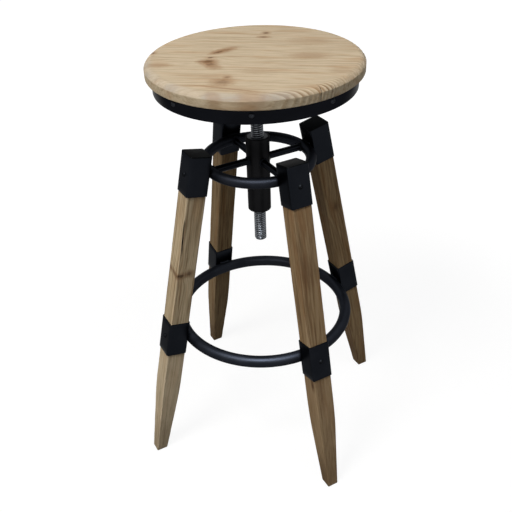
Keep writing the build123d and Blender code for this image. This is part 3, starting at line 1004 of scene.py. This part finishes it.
def makeSpindleTree():
    inputs = sockets("Float", "Crest Radius", "Thread Depth", "Pitch", "Low", "Length", "Tip")
    inputs += sockets("Int", "Columns", "Rows") + sockets("Material", "Material")
    tree, given = geometryTree("spindleThread", inputs)
    around = calc(tree, "ADD", given["Columns"], 1)
    grid = addNode(tree, "GeometryNodeMeshGrid", {"Size X": 1.0, "Size Y": 1.0, "Vertices X": around})
    feed(tree, grid.inputs["Vertices Y"], given["Rows"])
    position = addNode(tree, "GeometryNodeInputPosition").outputs[0]
    spot = addNode(tree, "ShaderNodeSeparateXYZ", {"Vector": position}).outputs
    turn = calc(tree, "MULTIPLY", calc(tree, "ADD", spot["X"], 0.5), fullTurn)
    share = calc(tree, "ADD", spot["Y"], 0.5)
    climb = calc(tree, "MULTIPLY", share, given["Length"])
    height = calc(tree, "ADD", climb, given["Low"])
    turns = calc(tree, "DIVIDE", climb, given["Pitch"])
    phase = calc(tree, "FRACT", calc(tree, "SUBTRACT", turns, calc(tree, "DIVIDE", turn, fullTurn)))
    middle = calc(tree, "ABSOLUTE", calc(tree, "SUBTRACT", calc(tree, "MULTIPLY", phase, 2.0), 1.0))
    groove = ramp(tree, middle, *spindleSizes["threadTurn"])
    cut = calc(tree, "MULTIPLY", groove, given["Thread Depth"])
    radius = calc(tree, "SUBTRACT", given["Crest Radius"], cut)
    tipLimit = calc(tree, "ADD", climb, calc(tree, "SUBTRACT", given["Crest Radius"], given["Tip"]))
    radius = calc(tree, "MINIMUM", radius, tipLimit)
    pastFirst = calc(tree, "GREATER_THAN", share, spindleSizes["endShare"])
    beforeLast = calc(tree, "LESS_THAN", share, 1 - spindleSizes["endShare"])
    inner = calc(tree, "MULTIPLY", pastFirst, beforeLast)
    radius = calc(tree, "MULTIPLY", radius, inner)  # first and last rows close to a point
    place = addNode(tree, "ShaderNodeCombineXYZ", {"Z": height})
    feed(tree, place.inputs["X"], calc(tree, "MULTIPLY", radius, calc(tree, "COSINE", turn)))
    feed(tree, place.inputs["Y"], calc(tree, "MULTIPLY", radius, calc(tree, "SINE", turn)))
    stored = addNode(tree, "GeometryNodeStoreNamedAttribute", {"Name": "grooveDepth", "Value": groove})
    feed(tree, stored.inputs["Geometry"], grid.outputs[0])
    shaped = addNode(tree, "GeometryNodeSetPosition", {"Geometry": stored.outputs[0]})
    feed(tree, shaped.inputs["Position"], place.outputs[0])
    closed = addNode(tree, "GeometryNodeMergeByDistance", {"Distance": spindleSizes["mergeGap"]})
    feed(tree, closed.inputs["Geometry"], shaped.outputs[0])
    endTree(tree, closed.outputs[0], given["Material"])
    return tree


def spindleMaterial(look):
    material, tree, shader = newMaterial("spindleSteel")
    point = addNode(tree, "ShaderNodeTexCoord").outputs["Object"]
    sizes = {"Peel Size": look["peelSize"], "Patch Size": look["patchSize"]}
    skin = useGroup(tree, coatSkin, {"Point": point} | sizes)
    oiled = calc(tree, "MULTIPLY", skin["Patch"], look["oilAmount"])
    crest = mixColour(tree, oiled, look["crest"], look["oil"])
    inRoot = ramp(tree, attribute(tree, "grooveDepth"), *look["rootTurn"])
    feed(tree, shader["Base Color"], mixColour(tree, inRoot, crest, look["root"]))
    rough = calc(tree, "MULTIPLY_ADD", skin["Patch"], look["oilRough"], look["roughness"])
    feed(tree, shader["Roughness"], rough)
    shader["Metallic"].default_value = 1.0
    feed(tree, shader["Normal"], addBump(tree, skin["Peel"], look["bump"], look["bumpStrength"]))
    return material


def makeSpindle():
    low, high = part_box("spindle")
    sizes = spindleSizes
    turns = (high.z - low.z) / sizes["pitch"]
    mesh = solveTree("spindleThread", makeSpindleTree(), {
        "Crest Radius": high.x, "Thread Depth": sizes["threadDepth"], "Pitch": sizes["pitch"],
        "Low": low.z, "Length": high.z - low.z, "Tip": sizes["tip"], "Columns": sizes["columns"],
        "Rows": int(turns * sizes["rowsPerTurn"]) + 1, "Material": spindleMaterial(spindleLook),
    })
    shape = bmesh.new()
    shape.from_mesh(mesh)
    bmesh.ops.recalc_face_normals(shape, faces=shape.faces)
    shape.to_mesh(mesh)
    shape.free()
    piece = addPiece("spindleThread", mesh)
    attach(piece, "seat")
    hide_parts("spindle")


makeSpindle()
print("spindle made")


# Screws: round heads with a cross recess, set on points that face outwards

screwSizes = {
    "headRadius": 4.5 * mm, "headHeight": 2.8 * mm, "shankRadius": 2.25 * mm, "length": 25 * mm,
    "point": 5 * mm, "recessReach": 1.7 * mm, "recessWidth": 0.4 * mm, "recessDepth": 0.9 * mm,
    "recessTurn": (0.7, 1.3), "recessEnd": 0.75, "domeFrom": 0.1 * mm,
    "domeRows": 16, "columns": 48, "hoopCount": 8, "hoopFirst": 14.4, "hoopSeed": 3, "legSeed": 8,
}


def screwMesh():
    sizes = screwSizes
    radius, height = sizes["headRadius"], sizes["headHeight"]
    ball = (radius ** 2 + height ** 2) / (2 * height)
    profile = [(0, -sizes["length"]), (sizes["shankRadius"], sizes["point"] - sizes["length"])]
    profile += [(sizes["shankRadius"], 0), (radius, 0)]
    for r in np.linspace(radius, 0, sizes["domeRows"])[1:]:
        profile.append((r, height - ball + math.sqrt(ball ** 2 - r ** 2)))
    mesh = gridMesh("screw", latheRows(profile, evenAngles(sizes["columns"])), sharpAngle=40)
    points = readPoints(mesh)
    x, y = np.abs(points[:, 0]), np.abs(points[:, 1])
    reach, width = sizes["recessReach"], sizes["recessWidth"]
    narrow, wide = (share * width for share in sizes["recessTurn"])
    arms = []
    for across, along in ((x, y), (y, x)):
        inArm = 1 - smoothStep(narrow, wide, across)
        arms.append(inArm * (1 - smoothStep(sizes["recessEnd"] * reach, reach, along)))
    recess = np.maximum(*arms) * (points[:, 2] > sizes["domeFrom"])
    points[:, 2] -= sizes["recessDepth"] * recess
    movePoints(mesh, points)
    return mesh


def makeScrewTree():
    inputs = sockets("Object", "Screw") + sockets("Int", "Seed") + sockets("Material", "Material")
    tree, given = geometryTree("setScrews", inputs)
    screw = addNode(tree, "GeometryNodeObjectInfo", {"Object": given["Screw"], "As Instance": True})
    named = "GeometryNodeInputNamedAttribute"
    outward = addNode(tree, named, {"Name": "outward"}, data_type="FLOAT_VECTOR").outputs[0]
    aim = addNode(tree, "FunctionNodeAlignRotationToVector", {"Vector": outward}, axis="Z")
    luck = addNode(tree, "FunctionNodeRandomValue", {"Seed": given["Seed"]}, data_type="FLOAT")
    spin = calc(tree, "MULTIPLY", luck.outputs[1], fullTurn)
    turned = addNode(tree, "FunctionNodeRotateRotation", rotation_space="LOCAL")
    feed(tree, turned.inputs["Rotation"], aim.outputs[0])
    feed(tree, turned.inputs["Rotate By"], addNode(tree, "ShaderNodeCombineXYZ", {"Z": spin}).outputs[0])
    points = addNode(tree, "GeometryNodeMeshToPoints", {"Mesh": given["Geometry"]})
    placed = addNode(tree, "GeometryNodeInstanceOnPoints", {"Points": points.outputs[0]})
    feed(tree, placed.inputs["Instance"], screw.outputs["Geometry"])
    feed(tree, placed.inputs["Rotation"], turned.outputs[0])
    endTree(tree, placed.outputs[0], given["Material"])
    return tree


def hoopScrewPlaces():
    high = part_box("hoop")[1]
    level = (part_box("seat_board")[0].z + high.z) / 2
    places = []
    for number in range(screwSizes["hoopCount"]):
        angle = math.radians(screwSizes["hoopFirst"]) + number * fullTurn / screwSizes["hoopCount"]
        outward = Vector((math.cos(angle), math.sin(angle), 0))
        places.append((outward * high.x + Vector((0, 0, level)), outward))
    return places


def legScrewPlaces():
    lean = math.cos(legSizes["splay"])
    capMiddle = squareSizes["capTop"] / lean - (squareSizes["capLength"] + squareSizes["lid"]) / 2
    places = []
    for side in legTurns:
        where = legFrame(side)
        for level in (capMiddle, squareSizes["sleeveMiddle"] / lean):
            place = where @ Vector((squareSizes["side"] / 2, 0, level))
            places.append((place, where.to_3x3() @ Vector((1, 0, 0))))
    return places


def makeScrews(name, places, seed, coat, body, nodes):
    start = bpy.data.meshes.new(name + "Points")
    start.from_pydata([place for place, outward in places], [], [])
    storeVector(start, "outward", [outward for place, outward in places])
    values = {"Screw": screwModel, "Seed": seed, "Material": finish[coat]}
    piece = addPiece(name, solveTree(name, screwTree, values, start))
    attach(piece, body)
    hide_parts(*nodes)


screwModel = addPiece("screwModel", screwMesh())
screwTree = makeScrewTree()
hoopNodes, legNodes = ["hoop_screws"], ["cap_screws", "sleeve_screws"]
makeScrews("hoopScrews", hoopScrewPlaces(), screwSizes["hoopSeed"], "hoopScrew", "seat", hoopNodes)
makeScrews("legScrews", legScrewPlaces(), screwSizes["legSeed"], "legScrew", "frame", legNodes)
bpy.data.objects.remove(screwModel)
print("screws made")


# Weld beads: a rippled bead along each seam

weldSizes = {
    "bead": 1.9 * mm, "ripple": 2.3 * mm, "rippleDepth": 0.16, "rippleSteps": 5.0, "uneven": 0.35,
    "unevenScale": 160.0, "seed": 4.0, "beadSteps": 10, "seamSteps": 28,
    "shortAngle": math.radians(38), "shortReach": 11 * mm, "shortLift": 0.5 * mm, "shortSteps": 9,
}


def makeWeldTree():
    inputs = sockets("Float", "Bead Radius", "Ripple Length", "Ripple Depth", "Uneven", "Seed")
    inputs += sockets("Material", "Material")
    tree, given = geometryTree("weldBeads", inputs)
    seam = addNode(tree, "GeometryNodeMeshToCurve", {"Mesh": given["Geometry"]}).outputs[0]
    fine = addNode(tree, "GeometryNodeResampleCurve", {"Curve": seam}, mode="LENGTH")
    step = calc(tree, "DIVIDE", given["Ripple Length"], weldSizes["rippleSteps"])
    feed(tree, fine.inputs["Length"], step)
    along = addNode(tree, "GeometryNodeSplineParameter").outputs["Length"]
    ripples = calc(tree, "DIVIDE", along, given["Ripple Length"])
    wave = calc(tree, "SINE", calc(tree, "MULTIPLY", ripples, fullTurn))
    chance = {"Scale": weldSizes["unevenScale"], "W": given["Seed"]}
    rough = addNode(tree, "ShaderNodeTexNoise", chance, noise_dimensions="4D").outputs[0]
    swell = calc(tree, "MULTIPLY", calc(tree, "SUBTRACT", rough, 0.5), given["Uneven"])
    size = calc(tree, "ADD", calc(tree, "MULTIPLY_ADD", wave, given["Ripple Depth"], 1.0), swell)
    bead = addNode(tree, "GeometryNodeCurveToMesh", {"Curve": fine.outputs[0], "Fill Caps": True})
    feed(tree, bead.inputs["Profile Curve"], circle(tree, weldSizes["beadSteps"], given["Bead Radius"]))
    feed(tree, bead.inputs["Scale"], size)
    endTree(tree, bead.outputs[0], given["Material"])
    return tree


def weldSeams():
    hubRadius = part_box("hub_tube")[1].x
    spokeLow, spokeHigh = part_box("spoke_right")
    spokeRadius = (spokeHigh.z - spokeLow.z) / 2
    level = (spokeHigh.z + spokeLow.z) / 2
    ringLow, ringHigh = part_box("upper_ring")
    tube = (ringHigh.z - ringLow.z) / 2
    ringRadius = ringHigh.x - tube
    atHub, atRing = [], []
    for angle in evenAngles(weldSizes["seamSteps"]):
        y, z = spokeRadius * math.cos(angle), spokeRadius * math.sin(angle)
        atHub.append(Vector((math.sqrt(hubRadius ** 2 - y ** 2), y, level + z)))
        reach = ringRadius - math.sqrt(tube ** 2 - z ** 2)
        atRing.append(Vector((math.sqrt(reach ** 2 - y ** 2), y, level + z)))
    return [(atHub, True), (atRing, True)]


def ringSeams(node):
    # short beads over and under the line where a ring touches a square tube
    low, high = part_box(node)
    tube = (high.z - low.z) / 2
    ringRadius, level = high.x - tube, (low.z + high.z) / 2
    reach = tube + weldSizes["shortLift"]
    seams = []
    for upper in (1, -1):
        angle = legSizes["splay"] + upper * weldSizes["shortAngle"]
        out, height = ringRadius + reach * math.cos(angle), level + reach * math.sin(angle)
        seam = []
        for y in np.linspace(-weldSizes["shortReach"], weldSizes["shortReach"], weldSizes["shortSteps"]):
            seam.append(Vector((math.sqrt(out ** 2 - y ** 2), y, height)))
        seams.append((seam, False))
    return seams


def makeWelds():
    points, edges = [], []
    for seam, closed in weldSeams() + ringSeams("upper_ring") + ringSeams("foot_ring"):
        for turn in legTurns.values():
            spin = Matrix.Rotation(math.radians(turn), 3, "Z")
            first = len(points)
            points += [spin @ point for point in seam]
            edges += [(first + step, first + step + 1) for step in range(len(seam) - 1)]
            if closed:
                edges.append((first + len(seam) - 1, first))
    start = bpy.data.meshes.new("weldSeams")
    start.from_pydata(points, edges, [])
    mesh = solveTree("weldBeads", makeWeldTree(), {
        "Bead Radius": weldSizes["bead"], "Ripple Length": weldSizes["ripple"],
        "Ripple Depth": weldSizes["rippleDepth"], "Uneven": weldSizes["uneven"], "Seed": weldSizes["seed"],
        "Material": finish["blackSteel"],
    }, start)
    piece = addPiece("weldBeads", mesh)
    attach(piece, "frame")


makeWelds()
print("welds made")


# Pieces that keep their solid's shape get their finish here

spokes = ["spoke_" + side for side in legTurns]
keptNodes = {
    "blackSteel": ["cross_bar_long", "cross_bars_short", "spindle_flange"] + spokes,
    "zincSteel": ["flange_bolts", "threaded_inserts"],
    "nutSteel": ["lift_nut"],
    "blackRubber": ["buffer_washer"],
    "bushPlastic": ["guide_bush"],
}
for look, nodes in keptNodes.items():
    for node in nodes:
        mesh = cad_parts[node].data
        mesh.materials.clear()
        mesh.materials.append(finish[look])
print("kept nodes finished")


# Floor, light and camera

stage = {
    "floorSize": 40.0, "floorShade": 0.1, "floorSeen": 0.15, "floorGlow": (0.9, 1.0),
    "glowTurn": (0.5, 1.6), "worldLow": 1.0, "worldHigh": 0.2, "worldTurn": (0.0, 0.2),
    "lampAim": (0, 0, 0.45),
    "lamps": [
        {
            "name": "keyLamp", "at": (-1.77, -0.51, 2.98), "size": (1.0, 1.0), "power": 60,
            "colour": (1.0, 0.975, 0.94), "sheenOnly": False,
        },
        {
            "name": "skyLamp", "at": (-0.1, -0.98, 2.97), "size": (1.8, 0.3), "power": 17,
            "colour": (0.9, 0.95, 1.0), "sheenOnly": False,
        },
        {
            "name": "sheenLamp", "at": (-0.55, -1.05, 3.0), "size": (1.8, 1.3), "power": 330,
            "colour": (0.92, 0.96, 1.0), "sheenOnly": True,
        },
    ],
}


def seenDirectly(tree):
    rays = tree.nodes.new("ShaderNodeLightPath").outputs
    either = calc(tree, "MAXIMUM", rays["Is Camera Ray"], rays["Is Glossy Ray"])
    return calc(tree, "MAXIMUM", either, rays["Is Transmission Ray"])


def makeFloor():
    mesh = bpy.data.meshes.new("floor")
    half = stage["floorSize"] / 2
    corners = [(-half, -half, 0), (half, -half, 0), (half, half, 0), (-half, half, 0)]
    mesh.from_pydata(corners, [], [(0, 1, 2, 3)])
    material = bpy.data.materials.new("paleFloor")
    material.use_nodes = True
    tree = material.node_tree
    tree.nodes.clear()
    shade = stage["floorShade"]
    plain = addNode(tree, "ShaderNodeBsdfDiffuse", {"Color": (shade, shade, shade, 1)}).outputs[0]
    part = stage["floorSeen"]
    shadowed = addNode(tree, "ShaderNodeBsdfDiffuse", {"Color": (part, part, part, 1)}).outputs[0]
    away = vectorCalc(tree, "LENGTH", addNode(tree, "ShaderNodeTexCoord").outputs["Object"])
    level = ramp(tree, away, *stage["glowTurn"], *stage["floorGlow"])  # a soft shadow near the feet
    glow = addNode(tree, "ShaderNodeEmission", {"Color": (1, 1, 1, 1), "Strength": level}).outputs[0]
    bright = addNode(tree, "ShaderNodeAddShader")
    tree.links.new(shadowed, bright.inputs[0])
    tree.links.new(glow, bright.inputs[1])
    choice = addNode(tree, "ShaderNodeMixShader", {"Fac": seenDirectly(tree)})
    tree.links.new(plain, choice.inputs[1])
    tree.links.new(bright.outputs[0], choice.inputs[2])
    tree.links.new(choice.outputs[0], tree.nodes.new("ShaderNodeOutputMaterial").inputs["Surface"])
    mesh.materials.append(material)
    addPiece("floor", mesh)


def makeWorld():
    # white where it is seen; as light it is pale at eye level and dimmer overhead
    world = bpy.data.worlds.new("studio")
    scene.world = world
    world.use_nodes = True
    tree = world.node_tree
    direction = addNode(tree, "ShaderNodeTexCoord").outputs["Generated"]
    rise = addNode(tree, "ShaderNodeSeparateXYZ", {"Vector": direction}).outputs["Z"]
    level = ramp(tree, rise, *stage["worldTurn"], stage["worldLow"], stage["worldHigh"])
    level = calc(tree, "MAXIMUM", level, seenDirectly(tree))
    feed(tree, tree.nodes["Background"].inputs["Color"], (1, 1, 1, 1))
    feed(tree, tree.nodes["Background"].inputs["Strength"], level)


def makeLamps():
    aim = Vector(stage["lampAim"])
    for lamp in stage["lamps"]:
        light = bpy.data.lights.new(lamp["name"], "AREA")
        light.shape = "RECTANGLE"
        light.size, light.size_y = lamp["size"]
        light.energy = lamp["power"]
        light.color = lamp["colour"]
        holder = bpy.data.objects.new(lamp["name"], light)
        holder.location = lamp["at"]
        holder.rotation_euler = (aim - holder.location).to_track_quat("-Z", "Y").to_euler()
        holder.visible_diffuse = not lamp["sheenOnly"]
        scene.collection.objects.link(holder)


photoCamera = {
    "at": (-0.5374, -1.0064, 1.1544), "heading": 62.42, "pitch": -33.86, "roll": -2.25, "lens": 50.21,
    "sensor": 36,
}


def makeCamera():
    heading, pitch, roll = (math.radians(photoCamera[key]) for key in ("heading", "pitch", "roll"))
    forward = Vector((
        math.cos(heading) * math.cos(pitch), math.sin(heading) * math.cos(pitch), math.sin(pitch)
    ))
    level = Vector((math.sin(heading), -math.cos(heading), 0))
    up = level.cross(forward)
    right = math.cos(roll) * level + math.sin(roll) * up
    top = math.cos(roll) * up - math.sin(roll) * level
    camera = bpy.data.cameras.new("photoCamera")
    camera.lens = photoCamera["lens"]
    camera.sensor_width = photoCamera["sensor"]
    holder = bpy.data.objects.new("photoCamera", camera)
    turn = Matrix((right, top, -forward)).transposed()
    holder.matrix_world = Matrix.Translation(photoCamera["at"]) @ turn.to_4x4()
    scene.collection.objects.link(holder)
    scene.camera = holder


makeFloor()
makeWorld()
makeLamps()
makeCamera()
scene.view_settings.view_transform = "Standard"
print("stage set")
